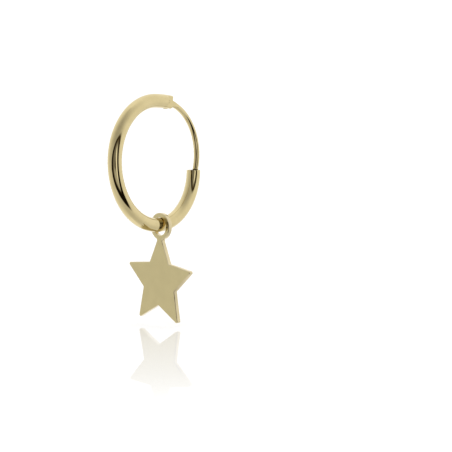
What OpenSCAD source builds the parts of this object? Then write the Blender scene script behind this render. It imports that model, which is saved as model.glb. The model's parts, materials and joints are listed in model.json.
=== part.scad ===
// Hinged hoop earring with a flat star charm. Millimetres, +Z up, the hoop upright in the X-Z plane.
// The origin is on the ear wire, where the piercing carries the earring.

/* [Hoop tube] */
// Outer diameter of the hollow tube
tube_d = 1.44; // [1.3:0.02:1.5]
// Wall of the hollow tube
tube_wall = 0.14; // [0.12:0.01:0.16]
// Bend radius of the short, nearly straight stretch from the hinge to the top
hinge_bend_r = 18; // [14:0.5:24]
// Bend radius of the quarter from the top round to the side away from the wire
top_bend_r = 6.06; // [6:0.02:6.1]
// Bend radius of the quarter from that side down to the bottom
side_bend_r = 6.61; // [6.59:0.01:6.64]
// Bend radius of the quarter from the bottom up to the open mouth
bottom_bend_r = 5.47; // [5.45:0.01:5.5]

/* [Ear wire] */
// Diameter of the solid wire
wire_d = 0.6; // [0.56:0.01:0.62]
// Bend radius of the wire
wire_bend_r = 5.58; // [5.4:0.02:5.7]
// How far the wire's middle lies outward of the middle of the tube's mouth
wire_off_mouth = 0.15; // [0.1:0.01:0.16]
// How far the wire leans to the front, in degrees, from the hinge to its tip
wire_lean = 1.5; // [0:0.1:1.7]
// How far the round tip reaches into the mouth
tip_depth = 0.18; // [0.15:0.01:0.19]

/* [Hinge] */
// Distance from the tube's hinge end back to the rivet
rivet_back = 0.65; // [0.6:0.01:0.68]
// Diameter of the rivet
rivet_d = 0.3; // [0.26:0.01:0.32]
// Width across the tube's flattened hinge end
cheek_w = 0.9; // [0.86:0.02:0.96]
// Width of the saw slot across the tube
slot_w = 0.36; // [0.34:0.01:0.4]
// Thickness of the wire's flattened end
tongue_t = 0.27; // [0.24:0.01:0.28]
// Width of the wire's flattened end
tongue_w = 0.66; // [0.62:0.01:0.68]

/* [Star charm] */
// Radius of the star out to its points, before they are rounded
star_r = 5.07; // [4.6:0.05:5.15]
// Radius of the star's inner corners as a share of the outer radius
star_inner = 0.48; // [0.42:0.01:0.52]
// Rounding radius of the points
tip_round = 0.19; // [0.15:0.01:0.25]
// Thickness of the flat sheet that the star and its ring share
sheet_t = 0.48; // [0.4:0.02:0.5]
// Diameter of the hole in the ring
ring_hole_d = 1.85; // [1.84:0.01:1.95]
// Outer diameter of the ring
ring_d = 2.78; // [2.7:0.02:2.9]
// Height of the ring's middle above the star's middle
ring_rise = 5.76; // [5.7:0.02:5.9]

/* [Hidden] */
$fn = 96;

gold = [0.84, 0.77, 0.54];
pale_gold = [0.80, 0.75, 0.55];

// Angle of the tube's hinge end and of its mouth, counted from straight across to straight up
hinge_end_angle = 82.9;
mouth_angle = 360;

// The four bends of the tube, each beginning straight above, beside or below its own middle:
// middle, bend radius, angle where it begins, degrees turned
side_step = side_bend_r - top_bend_r;
bottom_step = side_bend_r - bottom_bend_r;
bends = [
    [[0, top_bend_r - hinge_bend_r], hinge_bend_r, 90, hinge_end_angle - 90],
    [[0, 0], top_bend_r, 90, 90],
    [[side_step, 0], side_bend_r, 180, 90],
    [[side_step, -bottom_step], bottom_bend_r, 270, mouth_angle - 270]
];
MIDDLE = 0;
RADIUS = 1;
BEGIN = 2;
TURN = 3;
HINGE = 0;
BOTTOM = 3;

running_gap = 0.02;
overlap = 0.02;

tube_r = tube_d / 2;
bore_r = tube_r - tube_wall;
wire_r = wire_d / 2;

// A unit vector at an angle, counted from across to up
function toward(angle) = [cos(angle), sin(angle)];

// A place on the middle line of a bend
function on_bend(i, angle) = bends[i][MIDDLE] + bends[i][RADIUS] * toward(angle);

// Degrees turned by a length along an arc
function arc_degrees(length, radius) = length / radius * 180 / PI;

mouth = on_bend(BOTTOM, mouth_angle);

// The rivet crosses the tube's middle line a short way back from the hinge end
rivet_angle = hinge_end_angle + arc_degrees(rivet_back, hinge_bend_r);
rivet = on_bend(HINGE, rivet_angle);

// The wire is one arc from the rivet to a point beside the middle of the mouth
wire_at_mouth = mouth + wire_off_mouth * toward(mouth_angle);
wire_chord = wire_at_mouth - rivet;
chord_half = norm(wire_chord) / 2;
chord_inward = [wire_chord.y, -wire_chord.x] / norm(wire_chord);
wire_middle = (rivet + wire_at_mouth) / 2 + sqrt(wire_bend_r ^ 2 - chord_half ^ 2) * chord_inward;
wire_from = atan2(rivet.y - wire_middle.y, rivet.x - wire_middle.x);
wire_to = atan2(wire_at_mouth.y - wire_middle.y, wire_at_mouth.x - wire_middle.x);

// Along the wire: the flat end stops a little outside the tube, and the domed tip dips into the mouth
shoulder_from_rivet = 1;
shoulder_angle = wire_from - arc_degrees(shoulder_from_rivet, wire_bend_r);
tip_r = wire_r - 0.02;
tip_angle = wire_to - arc_degrees(tip_depth - tip_r, wire_bend_r);

// The piercing carries the wire just below the flat end
hang_from_rivet = 1.7;
hang_angle = wire_from - arc_degrees(hang_from_rivet, wire_bend_r);
hang = wire_middle + wire_bend_r * toward(hang_angle);

// Details of the hinge: how far its cuts run on behind the rivet, and the turn in which the bore is closed
flat_behind_rivet = 0.2;
slot_behind_rivet = 0.22;
closed_degrees = arc_degrees(rivet_back + flat_behind_rivet + tube_wall, hinge_bend_r);
eye_r = 0.4;
pocket_r = eye_r + 0.05;
tail_w = 0.3;
tail_reach = tube_r + 0.04;
rivet_dome_r = cheek_w / 2 + 0.03;

// The charm's ring hangs on the bottom bend
charm_angle = 273.3;
charm_on_tube = on_bend(BOTTOM, charm_angle);
ring_drop = ring_hole_d / 2 - tube_r - 0.04;
charm_turn = [2.3, -0.5, -6.3];

// Moves a piece from the hoop's middle to the hanging point
module hung() {
    translate([-hang.x, 0, -hang.y])
        children();
}

// Moves and turns a piece to a place on the hoop, its own X along the hoop towards the wire
module on_hoop(place, angle) {
    translate([place.x, 0, place.y])
        rotate([0, 90 - angle, 0])
            children();
}

// Sweeps a flat section round part of a circle that stands upright
module swept(middle, radius, from, turn) {
    translate([middle.x, 0, middle.y])
        rotate([90, 0, 0])
            rotate([0, 0, from])
                rotate_extrude(angle = turn)
                    translate([radius, 0])
                        children();
}

// The hollow tube, whose hinge end is closed, flattened on both sides, sawn open and drilled for the rivet
module hoop_tube() {
    color(gold)
        hung()
            difference() {
                union()
                    for (bend = bends)
                        hollow_bend(bend);
                on_hoop(rivet, rivet_angle) {
                    flats();
                    saw_slot();
                    across(pocket_r, slot_w);
                    across(rivet_d / 2 + running_gap, tube_d + 1);
                }
            }
}

// One bend of the tube: its bore runs on past the bend's two ends, so that the bends open into each other,
// but stops short of the hinge end
module hollow_bend(bend) {
    run_on = bend[TURN] < 0 ? -1 : 1;
    bore_turn = bend == bends[HINGE] ? bend[TURN] + run_on + closed_degrees : bend[TURN] + 2 * run_on;
    difference() {
        swept(bend[MIDDLE], bend[RADIUS], bend[BEGIN], bend[TURN])
            circle(r = tube_r);
        swept(bend[MIDDLE], bend[RADIUS], bend[BEGIN] - run_on, bore_turn)
            circle(r = bore_r);
    }
}

// What is taken off the two sides of the hinge end
module flats() {
    for (side = [0, 1])
        mirror([0, side, 0])
            translate([-flat_behind_rivet, cheek_w / 2, -tube_d])
                cube([flat_behind_rivet + rivet_back + tube_r, tube_d, 2 * tube_d]);
}

module saw_slot() {
    translate([-slot_behind_rivet, -slot_w / 2, -tube_d])
        cube([slot_behind_rivet + rivet_back + tube_r, slot_w, 2 * tube_d]);
}

// A round bar across the hoop
module across(radius, length) {
    rotate([90, 0, 0])
        cylinder(r = radius, h = length, center = true);
}

// The rivet, with low domed ends on the two flats
module hinge_rivet() {
    color(pale_gold)
        hung()
            on_hoop(rivet, rivet_angle)
                intersection() {
                    across(rivet_d / 2, 2 * cheek_w);
                    sphere(r = rivet_dome_r);
                }
}

// The wire: flattened and drilled at the hinge, round from there to its domed tip
module ear_wire() {
    tip = wire_middle + wire_bend_r * toward(tip_angle);
    color(gold)
        hung()
            translate([rivet.x, 0, rivet.y])
                rotate([0, 0, -wire_lean])
                    translate([-rivet.x, 0, -rivet.y]) {
                        swept(wire_middle, wire_bend_r, tip_angle, shoulder_angle - tip_angle)
                            circle(r = wire_r);
                        translate([tip.x, 0, tip.y])
                            sphere(r = tip_r);
                        flat_end();
                    }
}

module flat_end() {
    flat_to = shoulder_angle - arc_degrees(overlap, wire_bend_r);
    difference() {
        union() {
            swept(wire_middle, wire_bend_r, flat_to, wire_from - flat_to)
                square([tongue_w, tongue_t], center = true);
            on_hoop(rivet, wire_from) {
                across(eye_r, tongue_t);
                tail();
            }
        }
        on_hoop(rivet, wire_from)
            across(rivet_d / 2 + running_gap, 2 * tongue_t);
    }
}

// The cut tail of the flat end, which shows through the slot inside the hoop
module tail() {
    translate([-tail_w / 2, -tongue_t / 2, -tail_reach])
        cube([tail_w, tongue_t, tail_reach]);
}

// The star and its ring, cut from one flat sheet, hanging on the tube
module star_charm() {
    color(pale_gold)
        hung()
            translate([charm_on_tube.x, 0, charm_on_tube.y - ring_drop])
                rotate(charm_turn)
                    rotate([90, 0, -90])
                        flat_charm();
}

// Drawn lying flat, the middle of the ring at its centre
module flat_charm() {
    difference() {
        union() {
            translate([0, -ring_rise, -sheet_t / 2])
                linear_extrude(sheet_t)
                    star();
            cylinder(d = ring_d, h = sheet_t, center = true);
        }
        cylinder(d = ring_hole_d, h = 2 * sheet_t, center = true);
    }
}

// Five points with round ends, drawn as one outline: each point's rounding, then the next inner corner
module star() {
    corner = star_r * star_inner * [sin(36), cos(36)];
    half_angle = atan2(corner.x, star_r - corner.y);
    round_middle = [0, star_r - tip_round / sin(half_angle)];
    reach = 90 - half_angle;
    rounding = [for (k = [-1 : 1 / 4 : 1]) round_middle + tip_round * toward(90 - k * reach)];
    polygon([for (i = [0 : 4], p = concat(rounding, [corner])) turned(p, -72 * i)]);
}

function turned(p, angle) = [p.x * cos(angle) - p.y * sin(angle), p.x * sin(angle) + p.y * cos(angle)];

hoop_tube();
hinge_rivet();
ear_wire();
star_charm();
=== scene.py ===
import json
import math

import bmesh
import bpy
from mathutils import Matrix, Vector


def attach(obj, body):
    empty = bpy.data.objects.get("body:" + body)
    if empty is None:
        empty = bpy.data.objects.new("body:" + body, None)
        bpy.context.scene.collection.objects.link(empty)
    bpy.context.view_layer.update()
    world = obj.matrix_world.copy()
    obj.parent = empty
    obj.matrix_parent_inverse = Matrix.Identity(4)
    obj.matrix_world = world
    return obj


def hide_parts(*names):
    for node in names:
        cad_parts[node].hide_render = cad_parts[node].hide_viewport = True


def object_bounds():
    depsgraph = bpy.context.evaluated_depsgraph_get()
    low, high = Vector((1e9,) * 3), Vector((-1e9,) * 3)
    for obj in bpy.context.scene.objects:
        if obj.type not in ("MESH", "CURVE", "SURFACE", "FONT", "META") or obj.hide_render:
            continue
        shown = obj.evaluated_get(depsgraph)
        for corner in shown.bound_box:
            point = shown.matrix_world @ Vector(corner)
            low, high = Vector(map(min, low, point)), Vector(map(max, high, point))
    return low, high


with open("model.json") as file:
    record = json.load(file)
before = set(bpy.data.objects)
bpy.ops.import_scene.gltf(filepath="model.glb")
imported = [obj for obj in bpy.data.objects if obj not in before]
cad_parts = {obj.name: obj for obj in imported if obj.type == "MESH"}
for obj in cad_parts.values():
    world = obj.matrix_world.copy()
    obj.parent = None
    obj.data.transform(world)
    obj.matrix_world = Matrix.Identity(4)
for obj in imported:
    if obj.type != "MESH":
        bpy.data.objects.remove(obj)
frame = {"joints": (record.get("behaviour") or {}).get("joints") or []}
cad_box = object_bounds()

# Lengths are in metres, and MM turns a size in millimetres into one. Angles are in degrees unless a line
# turns them into radians.
MM = 0.001

# Hoop tube
TUBE_R = 0.72 * MM
BORE_R = 0.58 * MM
HINGE_BEND_R = 18.0 * MM
TOP_BEND_R = 6.06 * MM
SIDE_BEND_R = 6.61 * MM
BOTTOM_BEND_R = 5.47 * MM
HINGE_END_ANGLE = 82.9
MOUTH_ANGLE = 360.0
RIM_ROUNDING = 0.03 * MM
BEND_STEPS = 64

# Hinge
RIVET_BACK = 0.65 * MM
RIVET_R = 0.15 * MM
RIVET_GAP = 0.02 * MM
RIVET_HOLE_R = RIVET_R + RIVET_GAP
RIVET_PROUD = 0.03 * MM
RIVET_SHOULDER = 0.01 * MM
SLOT_W = 0.36 * MM
SLOT_BEHIND_RIVET = 0.22 * MM
CHEEK_W = 0.90 * MM
FLAT_BEHIND_RIVET = 0.21 * MM
FLAT_RAMP = 0.05 * MM

# Ear wire
WIRE_R = 0.30 * MM
WIRE_BEND_R = 5.58 * MM
WIRE_OFF_MOUTH = 0.15 * MM
WIRE_LEAN = 1.5
WIRE_EDGE_ROUNDING = 0.02 * MM
TIP_DEPTH = 0.18 * MM
TONGUE_W = 0.66 * MM
TONGUE_T = 0.27 * MM
EYE_R = 0.40 * MM
TAIL_W = 0.30 * MM
TAIL_PROUD = 0.04 * MM
FLAT_UNTIL = 0.66 * MM
ROUND_FROM = 2.10 * MM

# Power of the rounded outline of the wire's sections: an ellipse, or squarer with flat sides
ELLIPSE = 2.0
SQUARED = 6.0

# Star charm
STAR_R = 5.07 * MM
STAR_INNER = 0.48
STAR_POINTS = 5
TIP_ROUND = 0.19 * MM
SHEET_T = 0.48 * MM
RING_HOLE_R = 0.925 * MM
RING_R = 1.39 * MM
RING_RISE = 5.76 * MM
RING_CLEARANCE = 0.04 * MM
RING_DROP = RING_HOLE_R - TUBE_R - RING_CLEARANCE
NECK_FILLET = 0.22 * MM
EDGE_ROUNDING = 0.07 * MM
RING_STEPS = 84
CHARM_TURN = (2.3, -0.5, -6.3)

# How much large faces count in the smooth shading: they lead, which keeps flats flat, or all count alike
FLATS_LEAD = 100
ALL_ALIKE = 50


def toward(angle):
    """A unit vector in the hoop's plane, at an angle counted from straight across to straight up."""
    a = math.radians(angle)
    return Vector((math.cos(a), 0, math.sin(a)))


ACROSS = Vector((0, 1, 0))
JOINTS = {joint["name"]: joint for joint in frame["joints"]}
RIVET = Vector(JOINTS["wire_hinge"]["pos_m"])
CHARM_ON_TUBE = Vector(JOINTS["charm_swing"]["pos_m"])

# The rivet sits on the hinge bend a little back from the tube's end, and that places the hoop's middle.
RIVET_ANGLE = HINGE_END_ANGLE + math.degrees(RIVET_BACK / HINGE_BEND_R)
HINGE_MIDDLE = RIVET - HINGE_BEND_R * toward(RIVET_ANGLE)
TOP_MIDDLE = HINGE_MIDDLE + (HINGE_BEND_R - TOP_BEND_R) * toward(90)
SIDE_MIDDLE = TOP_MIDDLE + (SIDE_BEND_R - TOP_BEND_R) * toward(0)
BOTTOM_MIDDLE = SIDE_MIDDLE + (SIDE_BEND_R - BOTTOM_BEND_R) * toward(270)

# The bends after the hinge bend, from the top round to the mouth: middle, radius, first and last angle
BENDS = (
    (TOP_MIDDLE, TOP_BEND_R, 90.0, 180.0),
    (SIDE_MIDDLE, SIDE_BEND_R, 180.0, 270.0),
    (BOTTOM_MIDDLE, BOTTOM_BEND_R, 270.0, MOUTH_ANGLE),
)
MOUTH = BOTTOM_MIDDLE + BOTTOM_BEND_R * toward(MOUTH_ANGLE)


# Mesh helpers

def ease(x):
    """0 below 0, 1 above 1, and a smooth rise between."""
    x = min(max(x, 0.0), 1.0)
    return x * x * (3 - 2 * x)


def new_piece(name, mesh_builder):
    """A new object in the scene, whose mesh is what mesh_builder draws into an empty bmesh."""
    bm = bmesh.new()
    mesh_builder(bm)
    bmesh.ops.recalc_face_normals(bm, faces=bm.faces)
    mesh = bpy.data.meshes.new(name)
    bm.to_mesh(mesh)
    bm.free()
    piece = bpy.data.objects.new(name, mesh)
    bpy.context.scene.collection.objects.link(piece)
    return piece


def bake_modifiers(piece):
    """Replaces the piece's mesh by what its modifiers make of it."""
    graph = bpy.context.evaluated_depsgraph_get()
    graph.update()
    baked = bpy.data.meshes.new_from_object(piece.evaluated_get(graph))
    piece.modifiers.clear()
    old = piece.data
    piece.data = baked
    bpy.data.meshes.remove(old)


def cut_or_join(piece, tool, operation):
    """A boolean with another object, which is used up."""
    modifier = piece.modifiers.new("boolean", "BOOLEAN")
    modifier.operation = operation
    modifier.solver = "EXACT"
    modifier.object = tool
    bake_modifiers(piece)
    tool_mesh = tool.data
    bpy.data.objects.remove(tool)
    bpy.data.meshes.remove(tool_mesh)


def shade(piece, weight=FLATS_LEAD):
    """Smooth shading, in which large faces count by the weight."""
    for face in piece.data.polygons:
        face.use_smooth = True
    piece.modifiers.new("normals", "WEIGHTED_NORMAL").weight = weight
    bake_modifiers(piece)


def round_edges(piece, width, limit=40, segments=3, weight=FLATS_LEAD):
    """Rounds the edges sharper than the limit, then shades the piece."""
    bevel = piece.modifiers.new("rounding", "BEVEL")
    bevel.width = width
    bevel.segments = segments
    bevel.limit_method = "ANGLE"
    bevel.angle_limit = math.radians(limit)
    bevel.miter_outer = "MITER_ARC"
    bake_modifiers(piece)
    shade(piece, weight)


def bar(name, middle, radius, length, sides=48):
    """A round bar across the hoop."""
    def build(bm):
        turn = Matrix.Rotation(math.radians(90), 4, "X")
        bmesh.ops.create_cone(
            bm, cap_ends=True, segments=sides, radius1=radius, radius2=radius, depth=length,
            matrix=Matrix.Translation(middle) @ turn)
    return new_piece(name, build)


def skin(bm, rings):
    """Faces between neighbouring closed rings of vertices that all have the same count."""
    count = len(rings[0])
    faces = []
    for ring, following in zip(rings, rings[1:]):
        for i in range(count):
            j = (i + 1) % count
            faces.append(bm.faces.new((ring[i], ring[j], following[j], following[i])))
    return faces


# Hoop tube

def hoop_stations():
    """Places along the tube from the hinge end to the mouth: middle, outward direction, in the slot or not,
    and how far its sides are pressed flat."""
    degree = math.radians(1) * HINGE_BEND_R
    slot_back = RIVET_ANGLE + SLOT_BEHIND_RIVET / degree
    flat_back = RIVET_ANGLE + (FLAT_BEHIND_RIVET - FLAT_RAMP / 2) / degree
    ramp_back = flat_back + FLAT_RAMP / degree
    # Stretches of the hinge bend: first and last angle, steps, in the slot or not
    hinge_stretches = (
        (HINGE_END_ANGLE, flat_back, 8, True),
        (flat_back, slot_back, 4, True),
        (slot_back, ramp_back, 2, False),
        (ramp_back, 90.0, 12, False),
    )
    stations = []
    for first, last, steps, in_slot in hinge_stretches:
        for k in range(steps):
            angle = first + (last - first) * k / steps
            flat = 1 - ease((angle - flat_back) / (ramp_back - flat_back))
            stations.append((HINGE_MIDDLE + HINGE_BEND_R * toward(angle), toward(angle), in_slot, flat))
    for middle, radius, first, last in BENDS:
        for k in range(BEND_STEPS):
            angle = first + (last - first) * k / BEND_STEPS
            stations.append((middle + radius * toward(angle), toward(angle), False, 0))
    stations.append((MOUTH, toward(MOUTH_ANGLE), False, 0))
    return stations


def tube_ring_angles(radius, half_flat, short_steps=6, long_steps=18, least_gap=4):
    """Angles round the tube in radians, spaced so that the slot's edges and the flats' edges fall on
    vertices, and for each whether the slot follows it."""
    edge = math.asin(SLOT_W / 2 / radius)
    corner = max(math.asin(half_flat / radius), edge + math.radians(least_gap))
    slot = (-edge, edge, short_steps)
    side = (
        (edge, corner, short_steps),
        (corner, math.pi - corner, long_steps),
        (math.pi - corner, math.pi - edge, short_steps),
    )
    angles, in_gap = [], []
    for half_turn in (0, math.pi):
        for span in (slot, *side):
            first, last, steps = span
            for k in range(steps):
                angles.append(half_turn + first + (last - first) * k / steps)
                in_gap.append(span is slot)
    return angles, in_gap


def tube_rings(bm, stations, radius, angles, half_flat):
    """A ring of vertices at each station, its sides pressed to half_flat where the tube is flat."""
    rings = []
    for place, outward, _, flat in stations:
        ring = []
        for a in angles:
            sideways = radius * math.sin(a)
            pressed = min(max(sideways, -half_flat), half_flat)
            sideways += flat * (pressed - sideways)
            ring.append(bm.verts.new(place + radius * math.cos(a) * outward + sideways * ACROSS))
        rings.append(ring)
    return rings


def build_tube(bm):
    """The outer wall and the bore with the faces between them, open along the slot on the top and below."""
    stations = hoop_stations()
    outer_angles, in_gap = tube_ring_angles(TUBE_R, CHEEK_W / 2)
    inner_angles, _ = tube_ring_angles(BORE_R, SLOT_W / 2)
    outer = tube_rings(bm, stations, TUBE_R, outer_angles, CHEEK_W / 2)
    inner = tube_rings(bm, stations, BORE_R, inner_angles, SLOT_W / 2)
    slotted = [in_slot for _, _, in_slot, _ in stations]
    count = len(in_gap)

    for s in range(len(stations) - 1):
        for i in range(count):
            if slotted[s] and in_gap[i]:
                continue
            j = (i + 1) % count
            bm.faces.new((outer[s][i], outer[s][j], outer[s + 1][j], outer[s + 1][i]))
            bm.faces.new((inner[s][j], inner[s][i], inner[s + 1][i], inner[s + 1][j]))
            for k, neighbour in ((i, (i - 1) % count), (j, j)):
                if slotted[s] and in_gap[neighbour]:
                    bm.faces.new((outer[s][k], outer[s + 1][k], inner[s + 1][k], inner[s][k]))

    # Faces across the wall at the hinge end beside the slot, at the slot's back, and all round the mouth
    slot_back = slotted.index(False)
    mouth = len(stations) - 1
    for s, where in ((0, (False,)), (slot_back, (True,)), (mouth, (False, True))):
        for i in range(count):
            if in_gap[i] in where:
                j = (i + 1) % count
                bm.faces.new((outer[s][i], outer[s][j], inner[s][j], inner[s][i]))
    loose = [v for v in bm.verts if not v.link_faces]
    bmesh.ops.delete(bm, geom=loose, context="VERTS")


def make_tube(gold):
    tube = new_piece("tube", build_tube)
    cut_or_join(tube, bar("hole", RIVET, RIVET_HOLE_R, 4 * TUBE_R), "DIFFERENCE")
    round_edges(tube, RIM_ROUNDING, weight=ALL_ALIKE)
    tube.data.materials.append(gold)
    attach(tube, "hoop")
    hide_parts("hoop_tube")


# Rivet

def build_rivet(bm, sides=40, dome_steps=6, first_ring=0.05):
    """A pin across the hoop, with low domed ends on the two flats. Where a dome begins, its first ring has
    this share of the pin's radius."""
    reach = CHEEK_W / 2 + RIVET_PROUD
    profile = []
    for k in range(dome_steps):
        radius = RIVET_R * (math.sin(math.radians(90 * k / dome_steps)) if k else first_ring)
        profile.append((radius, math.sqrt(reach ** 2 - radius ** 2)))
    profile.append((RIVET_R, math.sqrt(reach ** 2 - RIVET_R ** 2) - RIVET_SHOULDER))
    profile += [(radius, -y) for radius, y in reversed(profile)]
    rings = []
    for radius, y in profile:
        ring = []
        for i in range(sides):
            a = 2 * math.pi * i / sides
            ring.append(bm.verts.new(RIVET + Vector((radius * math.cos(a), y, radius * math.sin(a)))))
        rings.append(ring)
    skin(bm, rings)
    bm.faces.new(rings[0])
    bm.faces.new(rings[-1])


def make_rivet(gold):
    rivet = new_piece("rivet", build_rivet)
    shade(rivet)
    rivet.data.materials.append(gold)
    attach(rivet, "hoop")
    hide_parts("hinge_rivet")


# Ear wire

def wire_arc():
    """Middle of the wire's arc, and its angles at the rivet and beside the mouth."""
    beside_mouth = MOUTH + WIRE_OFF_MOUTH * toward(MOUTH_ANGLE)
    chord = beside_mouth - RIVET
    inward = Vector((chord.z, 0, -chord.x)).normalized()
    middle = (RIVET + beside_mouth) / 2
    middle += math.sqrt(WIRE_BEND_R ** 2 - (chord.length / 2) ** 2) * inward

    def angle_of(point):
        return math.degrees(math.atan2(point.z - middle.z, point.x - middle.x))

    return middle, angle_of(RIVET), angle_of(beside_mouth)


def wire_sections(total, eye_steps=12, tongue_steps=8, blend_steps=24, round_steps=90, tip_steps=12):
    """A round eye at the rivet, a flat tongue, then a round wire with a domed tip. Each section has its
    distance along the arc from the rivet, its half width, its half thickness and its outline's power."""
    def eye_half_width(along):
        return math.sqrt(EYE_R ** 2 - along ** 2)

    half_flat = TONGUE_T / 2
    eye_meets_tongue = eye_half_width(TONGUE_W / 2)
    round_until = total - WIRE_R
    sections = []
    for k in range(1, eye_steps):
        along = -EYE_R * math.cos(math.radians(90 * k / eye_steps))
        sections.append((along, eye_half_width(along), half_flat, SQUARED))
    for k in range(tongue_steps):
        along = eye_meets_tongue * k / tongue_steps
        sections.append((along, eye_half_width(along), half_flat, SQUARED))
    for k in range(tongue_steps):
        along = eye_meets_tongue + (FLAT_UNTIL - eye_meets_tongue) * k / tongue_steps
        sections.append((along, TONGUE_W / 2, half_flat, SQUARED))
    for k in range(blend_steps):
        share = ease(k / blend_steps)
        along = FLAT_UNTIL + (ROUND_FROM - FLAT_UNTIL) * k / blend_steps
        half_width = TONGUE_W / 2 + (WIRE_R - TONGUE_W / 2) * share
        half_thickness = half_flat + (WIRE_R - half_flat) * share
        power = ELLIPSE + (SQUARED - ELLIPSE) * (1 - share) ** 2
        sections.append((along, half_width, half_thickness, power))
    for k in range(round_steps):
        along = ROUND_FROM + (round_until - ROUND_FROM) * k / round_steps
        sections.append((along, WIRE_R, WIRE_R, ELLIPSE))
    for k in range(tip_steps):
        turn = math.radians(90 * k / tip_steps)
        radius = WIRE_R * math.cos(turn)
        sections.append((round_until + WIRE_R * math.sin(turn), radius, radius, ELLIPSE))
    return sections


def build_wire(bm, sides=40):
    """The sections strung along the wire's arc, past the mouth by the depth of the tip."""
    middle, at_rivet, at_mouth = wire_arc()
    total = math.radians(at_rivet - at_mouth) * WIRE_BEND_R + TIP_DEPTH

    def rounded(cosine, power):
        return math.copysign(abs(cosine) ** (2 / power), cosine)

    rings = []
    for along, half_width, half_thickness, power in wire_sections(total):
        outward = toward(at_rivet - math.degrees(along / WIRE_BEND_R))
        place = middle + WIRE_BEND_R * outward
        ring = []
        for i in range(sides):
            a = 2 * math.pi * (i + 0.5) / sides
            in_plane = half_width * rounded(math.cos(a), power)
            sideways = half_thickness * rounded(math.sin(a), power)
            ring.append(bm.verts.new(place + in_plane * outward + sideways * ACROSS))
        rings.append(ring)
    skin(bm, rings)
    bm.faces.new(rings[0])
    bm.faces.new(rings[-1])


def build_tail(bm):
    """The cut tail of the flat end, which reaches through the slot to the inside of the hoop."""
    _, at_rivet, _ = wire_arc()
    outward = toward(at_rivet)
    forward = toward(at_rivet - 90)
    reach = TUBE_R + TAIL_PROUD
    place = Matrix((
        (forward.x, 0, outward.x, RIVET.x - outward.x * reach / 2),
        (0, 1, 0, 0),
        (forward.z, 0, outward.z, RIVET.z - outward.z * reach / 2),
        (0, 0, 0, 1)))
    size = Matrix.Diagonal((TAIL_W, TONGUE_T, reach, 1))
    bmesh.ops.create_cube(bm, size=1)
    bmesh.ops.transform(bm, matrix=place @ size, verts=bm.verts)


def make_wire(gold):
    wire = new_piece("wire", build_wire)
    cut_or_join(wire, new_piece("tail", build_tail), "UNION")
    cut_or_join(wire, bar("hole", RIVET, RIVET_HOLE_R, 2 * TONGUE_T), "DIFFERENCE")
    round_edges(wire, WIRE_EDGE_ROUNDING, limit=60)
    lean = Matrix.Rotation(math.radians(-WIRE_LEAN), 4, "Z")
    wire.data.transform(Matrix.Translation(RIVET) @ lean @ Matrix.Translation(-RIVET))
    wire.data.materials.append(gold)
    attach(wire, "wire")
    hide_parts("ear_wire")


# Star charm

def arc(middle, radius, first, last, steps):
    """Points on an arc in the sheet's plane, both ends included."""
    points = []
    for k in range(steps + 1):
        a = math.radians(first + (last - first) * k / steps)
        points.append(middle + radius * Vector((math.cos(a), math.sin(a))))
    return points


def turned(point, angle):
    """A point of the sheet's plane turned about its origin."""
    cosine = math.cos(math.radians(angle))
    sine = math.sin(math.radians(angle))
    return Vector((point.x * cosine - point.y * sine, point.x * sine + point.y * cosine))


def charm_outline(corner_steps=8):
    """The sheet's outline, counter-clockwise, from the ring's right side over its top and round the star."""
    half_turn = math.radians(180 / STAR_POINTS)
    corner = STAR_R * STAR_INNER * Vector((math.sin(half_turn), math.cos(half_turn)))
    half_point = math.atan2(corner.x, STAR_R - corner.y)
    half_angle = math.degrees(half_point)
    round_middle = Vector((0, STAR_R - TIP_ROUND / math.sin(half_point)))
    tip = arc(round_middle, TIP_ROUND, half_angle, 180 - half_angle, corner_steps)
    star_middle = Vector((0, -RING_RISE))

    # The fillet touches the top point's edge and the ring, which places its middle along that edge.
    edge = Vector((math.sin(half_point), -math.cos(half_point)))
    outward = Vector((math.cos(half_point), math.sin(half_point)))
    start = star_middle + Vector((0, STAR_R)) + NECK_FILLET * outward
    nearest = -start.dot(edge)
    along = nearest + math.sqrt(nearest ** 2 - start.length_squared + (RING_R + NECK_FILLET) ** 2)
    fillet_middle = start + along * edge
    on_ring = math.degrees(math.atan2(fillet_middle.y, fillet_middle.x))
    right_fillet = arc(fillet_middle, NECK_FILLET, 180 + half_angle, 180 + on_ring, corner_steps)
    left_fillet = [Vector((-p.x, p.y)) for p in reversed(right_fillet)]
    ring = arc(Vector((0, 0)), RING_R, on_ring, 180 - on_ring, RING_STEPS)[1:-1]

    star = []
    for number in range(1, STAR_POINTS):
        angle = 360 / STAR_POINTS * number
        star += [star_middle + turned(p, angle) for p in (corner, *tip)]
    star.append(star_middle + corner)
    return right_fillet + ring + left_fillet + star


def inset(points, distance):
    """The closed outline moved towards its left-hand side by a distance."""
    moved = []
    for before, here, after in zip([points[-1]] + points[:-1], points, points[1:] + points[:1]):
        one = (here - before).normalized()
        two = (after - here).normalized()
        normal_one = Vector((-one.y, one.x))
        normal_two = Vector((-two.y, two.x))
        mitre = (normal_one + normal_two).normalized()
        moved.append(here + mitre * (distance / mitre.dot(normal_one)))
    return moved


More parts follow.
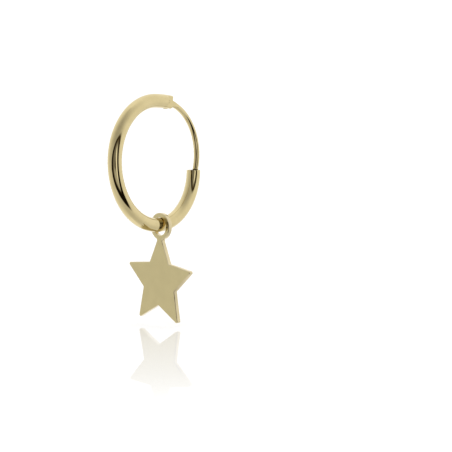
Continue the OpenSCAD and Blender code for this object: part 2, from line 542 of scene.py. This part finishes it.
def build_charm(bm, edge_steps=5):
    """The flat sheet with softly rounded edges, the ring's middle at the origin. Its faces have the first
    material and its edges the second."""
    hole = list(reversed(arc(Vector((0, 0)), RING_HOLE_R, 0, 360, RING_STEPS)[:-1]))
    profile = []
    for k in range(edge_steps + 1):
        a = math.radians(90 * k / edge_steps)
        height = SHEET_T / 2 - EDGE_ROUNDING * (1 - math.cos(a))
        profile.append((EDGE_ROUNDING * (1 - math.sin(a)), height))
    profile += [(distance, -height) for distance, height in reversed(profile)]
    caps = {0: [], len(profile) - 1: []}
    for loop in (charm_outline(), hole):
        rings = []
        for distance, height in profile:
            rings.append([bm.verts.new((p.x, p.y, height)) for p in inset(loop, distance)])
        for face in skin(bm, rings):
            face.material_index = 1
        for k, edges in caps.items():
            ring = rings[k]
            edges += [bm.edges.get((a, b)) for a, b in zip(ring, ring[1:] + ring[:1])]
    for edges in caps.values():
        bmesh.ops.triangle_fill(bm, edges=edges, use_beauty=True)


def make_charm(face_gold, edge_gold):
    charm = new_piece("charm", build_charm)
    flat_to_upright = Matrix.Rotation(math.radians(-90), 4, "Z") @ Matrix.Rotation(math.radians(90), 4, "X")
    turn = Matrix.Identity(4)
    for angle, axis in zip(CHARM_TURN, "XYZ"):
        turn = Matrix.Rotation(math.radians(angle), 4, axis) @ turn
    place = Matrix.Translation(CHARM_ON_TUBE - Vector((0, 0, RING_DROP)))
    charm.data.transform(place @ turn @ flat_to_upright)
    charm.data.materials.append(face_gold)
    # The sheet's edges take the second material, whose paler colour is a painted highlight on the rims.
    charm.data.materials.append(edge_gold)
    shade(charm)
    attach(charm, "charm")
    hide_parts("star_charm")


# Shader helpers, which return the output of the node that they make

# Places of the sockets of a mix node that share a name
NUMBER_A, NUMBER_B, NUMBER_OUT = 2, 3, 0
COLOUR_A, COLOUR_B, COLOUR_OUT = 6, 7, 2


def node(tree, kind, **settings):
    """A new node, with its own settings."""
    made = tree.nodes.new(kind)
    for name, value in settings.items():
        setattr(made, name, value)
    return made


def feed(tree, socket, value):
    """Sets a socket to a number, or links it to the output of another node."""
    if isinstance(value, (int, float)):
        socket.default_value = value
    else:
        tree.links.new(value, socket)


def calc(tree, operation, first, second=0.0, third=0.0):
    """An operation on up to three numbers or outputs."""
    made = node(tree, "ShaderNodeMath", operation=operation)
    for socket, value in zip(made.inputs, (first, second, third)):
        feed(tree, socket, value)
    return made.outputs[0]


def dot(tree, value, vector):
    """How far a place or direction reaches along a fixed vector."""
    made = node(tree, "ShaderNodeVectorMath", operation="DOT_PRODUCT")
    tree.links.new(value, made.inputs[0])
    made.inputs[1].default_value = vector
    return made.outputs["Value"]


def step(tree, value, low, high, start=0.0, end=1.0, interpolation="SMOOTHSTEP"):
    """A smooth or linear step of a value from start, below low, to end, above high."""
    made = node(tree, "ShaderNodeMapRange", interpolation_type=interpolation)
    tree.links.new(value, made.inputs["Value"])
    for name, number in (("From Min", low), ("From Max", high), ("To Min", start), ("To Max", end)):
        made.inputs[name].default_value = number
    return made.outputs["Result"]


def blend(tree, share, one, two):
    """Number one where share is 0, two where it is 1."""
    made = node(tree, "ShaderNodeMix", data_type="FLOAT")
    feed(tree, made.inputs["Factor"], share)
    feed(tree, made.inputs[NUMBER_A], one)
    feed(tree, made.inputs[NUMBER_B], two)
    return made.outputs[NUMBER_OUT]


def blend_colour(tree, share, one, two):
    """Colour one where share is 0, two where it is 1."""
    made = node(tree, "ShaderNodeMix", data_type="RGBA")
    feed(tree, made.inputs["Factor"], share)
    made.inputs[COLOUR_A].default_value = (*one, 1)
    made.inputs[COLOUR_B].default_value = (*two, 1)
    return made.outputs[COLOUR_OUT]


def noise(tree, scale, detail):
    """Noise fixed to the piece, its scale in waves to a metre."""
    made = node(tree, "ShaderNodeTexNoise")
    tree.links.new(node(tree, "ShaderNodeTexCoord").outputs["Object"], made.inputs["Vector"])
    made.inputs["Scale"].default_value = scale
    made.inputs["Detail"].default_value = detail
    return made.outputs["Fac"]


# Materials

CLOUD_SCALE = 900.0
CLOUD_DETAIL = 4.0
CLOUD_EDGES = (0.35, 0.65)
POLISH_SCALE = 2500.0
POLISH_DETAIL = 6.0
POLISHED_GRAIN = (1500.0, 0.12)
SATIN_GRAIN = (4000.0, 0.15)
GRAIN_DETAIL = 3.0
GRAIN_DEPTH = 0.01 * MM
POLISHED_ROUGHNESS = (0.03, 0.09)
SATIN_ROUGHNESS = (0.18, 0.28)


def metal(name, colours, roughness, grain):
    """Gold with faint cloudiness between its two colours, uneven polish between its two roughnesses and a
    fine surface, given by the grain's scale and strength."""
    material = bpy.data.materials.new(name)
    material.use_nodes = True
    tree = material.node_tree
    shader = tree.nodes["Principled BSDF"]
    shader.inputs["Metallic"].default_value = 1.0

    cloudy = step(tree, noise(tree, CLOUD_SCALE, CLOUD_DETAIL), *CLOUD_EDGES)
    tree.links.new(blend_colour(tree, cloudy, *colours), shader.inputs["Base Color"])

    polish = noise(tree, POLISH_SCALE, POLISH_DETAIL)
    uneven = step(tree, polish, 0.0, 1.0, *roughness, interpolation="LINEAR")
    tree.links.new(uneven, shader.inputs["Roughness"])

    grain_scale, grain_strength = grain
    bump = node(tree, "ShaderNodeBump")
    bump.inputs["Strength"].default_value = grain_strength
    bump.inputs["Distance"].default_value = GRAIN_DEPTH
    tree.links.new(noise(tree, grain_scale, GRAIN_DETAIL), bump.inputs["Height"])
    tree.links.new(bump.outputs["Normal"], shader.inputs["Normal"])
    return material


def polished_gold():
    colours = ((0.64, 0.535, 0.285), (0.68, 0.57, 0.31))
    return metal("bright_gold", colours, POLISHED_ROUGHNESS, POLISHED_GRAIN)


def satin_gold():
    """The faces of the star's sheet."""
    colours = ((0.57, 0.487, 0.258), (0.59, 0.505, 0.268))
    return metal("soft_gold", colours, SATIN_ROUGHNESS, SATIN_GRAIN)


def pale_gold():
    """The polished edges of the star's sheet, their colour paler and whiter than the polished tube's: a
    painted highlight along the rims.
    """
    colours = ((0.65, 0.555, 0.34), (0.69, 0.59, 0.365))
    return metal("pale_gold", colours, POLISHED_ROUGHNESS, POLISHED_GRAIN)


# Camera

PHOTO_SIDE = 452
VIEW_AZIMUTH = -48.668
VIEW_ELEVATION = 3.813
VIEW_DISTANCE = 153.85 * MM
AIM_AZIMUTH = -51.303
AIM_ELEVATION = 4.412
FOCAL_PIXELS = 1504.5
SENSOR = 36.0
LOOKED_AT = TOP_MIDDLE + Vector((0.206, 0, -5.101)) * MM


def backward(azimuth, elevation):
    """The direction from the object back to a camera at this azimuth and elevation."""
    a, e = math.radians(azimuth), math.radians(elevation)
    return Vector((math.sin(a) * math.cos(e), -math.cos(a) * math.cos(e), math.sin(e)))


def make_camera():
    """A camera where the photo was taken from, aimed a little to the earring's side as the photo is."""
    data = bpy.data.cameras.new("camera")
    data.sensor_width = SENSOR
    data.lens = FOCAL_PIXELS * SENSOR / PHOTO_SIDE
    data.clip_start = 1 * MM
    data.clip_end = 100
    camera = bpy.data.objects.new("camera", data)
    bpy.context.scene.collection.objects.link(camera)
    camera.location = LOOKED_AT + VIEW_DISTANCE * backward(VIEW_AZIMUTH, VIEW_ELEVATION)
    camera.rotation_mode = "QUATERNION"
    camera.rotation_quaternion = (-backward(AIM_AZIMUTH, AIM_ELEVATION)).to_track_quat("-Z", "Y")
    bpy.context.scene.camera = camera


# Surroundings

# What the gold mirrors, soft ovals laid over each other in this order: name, azimuth counted from the
# camera's, elevation, half width, half height, softness of the edge, lean, brightness
SHADES = (
    ("dimmer side", -70, -12, 34, 36, 0.40, 0.0, 0.84),
    ("grey above", -16, 44, 68, 42, 0.80, 0.0, 0.49),
    ("grey below", 33, -57, 97, 32, 0.95, 0.0, 0.67),
)
GLIMPSES = (
    ("room", 10, -3, 34, 26, 0.22, -0.20, 0.25),
    ("table", 15, -19, 25, 11.5, 0.20, 0.50, 0.55),
    ("window", 28, -2, 8, 18, 0.30, 0.35, 1.20),
    ("shadow", 12, -5, 6, 8, 0.45, 0.0, 0.07),
)
# The dark opening comes over the shades and under the glimpses. Its upper and lower half are ovals of their
# own, listed as above from azimuth to softness, which meet at its middle and blend there.
OPENING_BRIGHTNESS = 0.01
OPENING_MIDDLE = -15
HALVES_BLEND = 2
UPPER_HALF = (8, OPENING_MIDDLE, 60.5, 45.5, 0.07)
LOWER_HALF = (12, OPENING_MIDDLE, 62, 33.5, 0.07)
# From the first azimuth on either side to the second, far behind, the tent grows to this brightness.
FAR_SIDE = (86, 175, 1.10)
TENT_STRENGTH = 1.05
ROOM_LIGHT = 1.15
# What is darker than TINT_UNTIL is mirrored warmer.
TINT_UNTIL = 0.30
WHITE = (1.0, 1.0, 1.0)
DARK_TINT = (1.0, 0.70, 0.30)


def oval(tree, azimuth, elevation, middle, height, half_width, half_height, softness, lean=0.0):
    """1 inside an oval patch of the surroundings and 0 outside it."""
    rise = calc(tree, "SUBTRACT", elevation, height)
    aside = calc(tree, "MULTIPLY_ADD", rise, lean, calc(tree, "SUBTRACT", azimuth, middle))
    across = calc(tree, "DIVIDE", aside, half_width)
    up = calc(tree, "DIVIDE", rise, half_height)
    squares = calc(tree, "MULTIPLY_ADD", across, across, calc(tree, "MULTIPLY", up, up))
    return step(tree, calc(tree, "SQRT", squares), 1 - softness, 1 + softness, 1.0, 0.0)


def mirrored_direction(tree):
    """Azimuth, counted from the camera's, and elevation of a direction, in degrees."""
    place = node(tree, "ShaderNodeTexCoord").outputs["Generated"]
    a = math.radians(VIEW_AZIMUTH)
    aside = dot(tree, place, (math.cos(a), math.sin(a), 0))
    ahead = dot(tree, place, (math.sin(a), -math.cos(a), 0))
    upward = dot(tree, place, (0, 0, 1))
    azimuth = calc(tree, "DEGREES", calc(tree, "ARCTAN2", aside, ahead))
    elevation = calc(tree, "DEGREES", calc(tree, "ARCSINE", upward))
    return azimuth, elevation


def tent_light(tree):
    """How bright the tent is in each direction."""
    azimuth, elevation = mirrored_direction(tree)
    near_edge, far_edge, far_brightness = FAR_SIDE
    turned_away = step(tree, calc(tree, "ABSOLUTE", azimuth), near_edge, far_edge)
    light = blend(tree, turned_away, 1.0, far_brightness)
    for _, *shape, brightness in SHADES:
        light = blend(tree, oval(tree, azimuth, elevation, *shape), light, brightness)
    is_upper = step(tree, elevation, OPENING_MIDDLE - HALVES_BLEND, OPENING_MIDDLE + HALVES_BLEND)
    lower_half = oval(tree, azimuth, elevation, *LOWER_HALF)
    upper_half = oval(tree, azimuth, elevation, *UPPER_HALF)
    opening = blend(tree, is_upper, lower_half, upper_half)
    light = blend(tree, opening, light, OPENING_BRIGHTNESS)
    for _, *shape, brightness in GLIMPSES:
        light = blend(tree, oval(tree, azimuth, elevation, *shape), light, brightness)
    return light


def make_surroundings():
    """A white light tent, which the gold mirrors with the dark opening that the picture is taken through.
    Only blurred mirror rays see the tent's pattern, and all others see plain white."""
    world = bpy.data.worlds.new("surroundings")
    bpy.context.scene.world = world
    world.use_nodes = True
    tree = world.node_tree
    tree.nodes.clear()
    light = tent_light(tree)
    path = node(tree, "ShaderNodeLightPath").outputs
    mirrored = calc(tree, "SUBTRACT", path["Is Glossy Ray"], path["Is Singular Ray"])
    strength = blend(tree, mirrored, ROOM_LIGHT, calc(tree, "MULTIPLY", light, TENT_STRENGTH))
    tinted = calc(tree, "MULTIPLY", mirrored, step(tree, light, 0.0, TINT_UNTIL, 1.0, 0.0))
    tent = node(tree, "ShaderNodeBackground")
    tree.links.new(strength, tent.inputs["Strength"])
    tree.links.new(blend_colour(tree, tinted, WHITE, DARK_TINT), tent.inputs["Color"])
    out = node(tree, "ShaderNodeOutputWorld")
    tree.links.new(tent.outputs["Background"], out.inputs["Surface"])


# Floor

FLOOR_GAP = 0.43 * MM
FLOOR_R = 3.0
FLOOR_COLOUR = (0.96, 0.96, 0.96)
FLOOR_IOR = 1.3
FLOOR_GLOSS = 0.5
GLOSS_FADES_OVER = 45 * MM


def make_floor():
    """A pale floor a little under the hanging star, glossy below it and duller towards the camera. It
    mirrors sharply, so its mirror rays see the surroundings plain white and show the earring alone."""
    def build(bm):
        bmesh.ops.create_circle(bm, cap_ends=True, segments=64, radius=FLOOR_R)

    floor = new_piece("floor", build)
    floor.location = (CHARM_ON_TUBE.x, 0, cad_box[0].z - FLOOR_GAP)
    floor.visible_glossy = False
    material = bpy.data.materials.new("pale_floor")
    material.use_nodes = True
    tree = material.node_tree
    shader = tree.nodes["Principled BSDF"]
    shader.inputs["Base Color"].default_value = (*FLOOR_COLOUR, 1)
    shader.inputs["IOR"].default_value = FLOOR_IOR
    shader.inputs["Roughness"].default_value = 0.0
    place = node(tree, "ShaderNodeTexCoord").outputs["Object"]
    in_front = dot(tree, place, backward(VIEW_AZIMUTH, 0))
    gloss = step(tree, in_front, 0.0, GLOSS_FADES_OVER, FLOOR_GLOSS, 0.0)
    tree.links.new(gloss, shader.inputs["Specular IOR Level"])
    floor.data.materials.append(material)


bpy.context.scene.view_settings.view_transform = "Standard"
make_camera()
make_surroundings()
make_floor()
polished = polished_gold()
make_tube(polished)
make_rivet(polished)
make_wire(polished)
# The star's edges get the paler gold, a painted highlight on its rims.
make_charm(satin_gold(), pale_gold())
